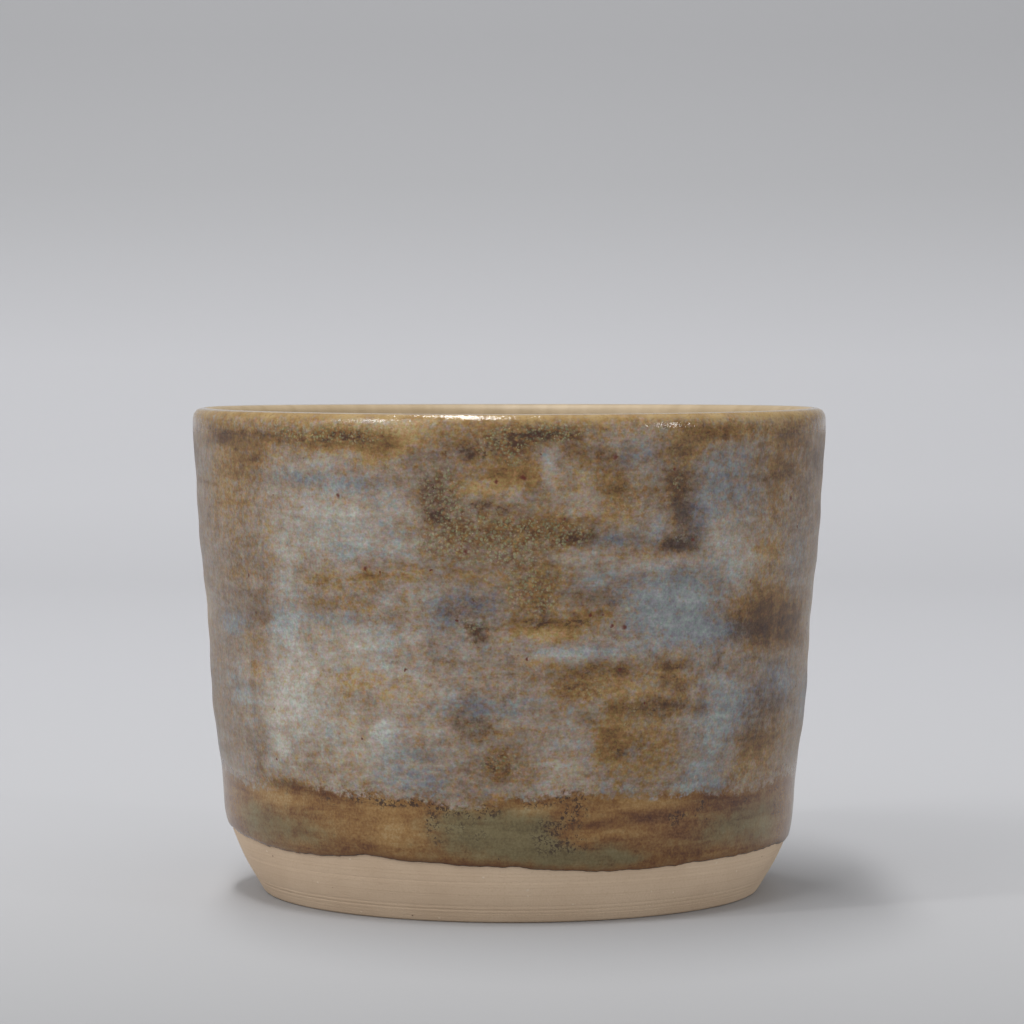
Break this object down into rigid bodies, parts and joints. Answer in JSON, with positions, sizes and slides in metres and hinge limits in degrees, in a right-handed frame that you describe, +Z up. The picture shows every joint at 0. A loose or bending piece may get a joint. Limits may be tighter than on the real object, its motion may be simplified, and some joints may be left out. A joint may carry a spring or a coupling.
{
  "type": "espresso cup",
  "caption": "Small handleless stoneware espresso cup with a tapered thrown wall, rounded lip, trimmed bare-clay foot and mottled brushed glaze.",
  "frame": {"origin": "centre of the cup's underside, on the table plane that the foot ring stands on", "axes": "+Z up along the cup's axis, -Y towards the side that faces the camera, +X to the right in that view"},
  "size_m": [0.066, 0.066, 0.05],
  "materials": {
    "bare_clay": "unglazed fired buff stoneware, matt, with fine trimming lines",
    "liner_glaze": "warm tan gloss glaze",
    "base_glaze": "olive and amber-brown gloss glaze",
    "brushed_glaze": "mottled lavender, pale blue and ochre-brown satin-gloss glaze"
  },
  "bodies": {
    "root": {"clay_body": "bare_clay", "liner_glaze": "liner_glaze", "base_glaze": "base_glaze", "brushed_glaze": "brushed_glaze"}
  },
  "joints": []
}
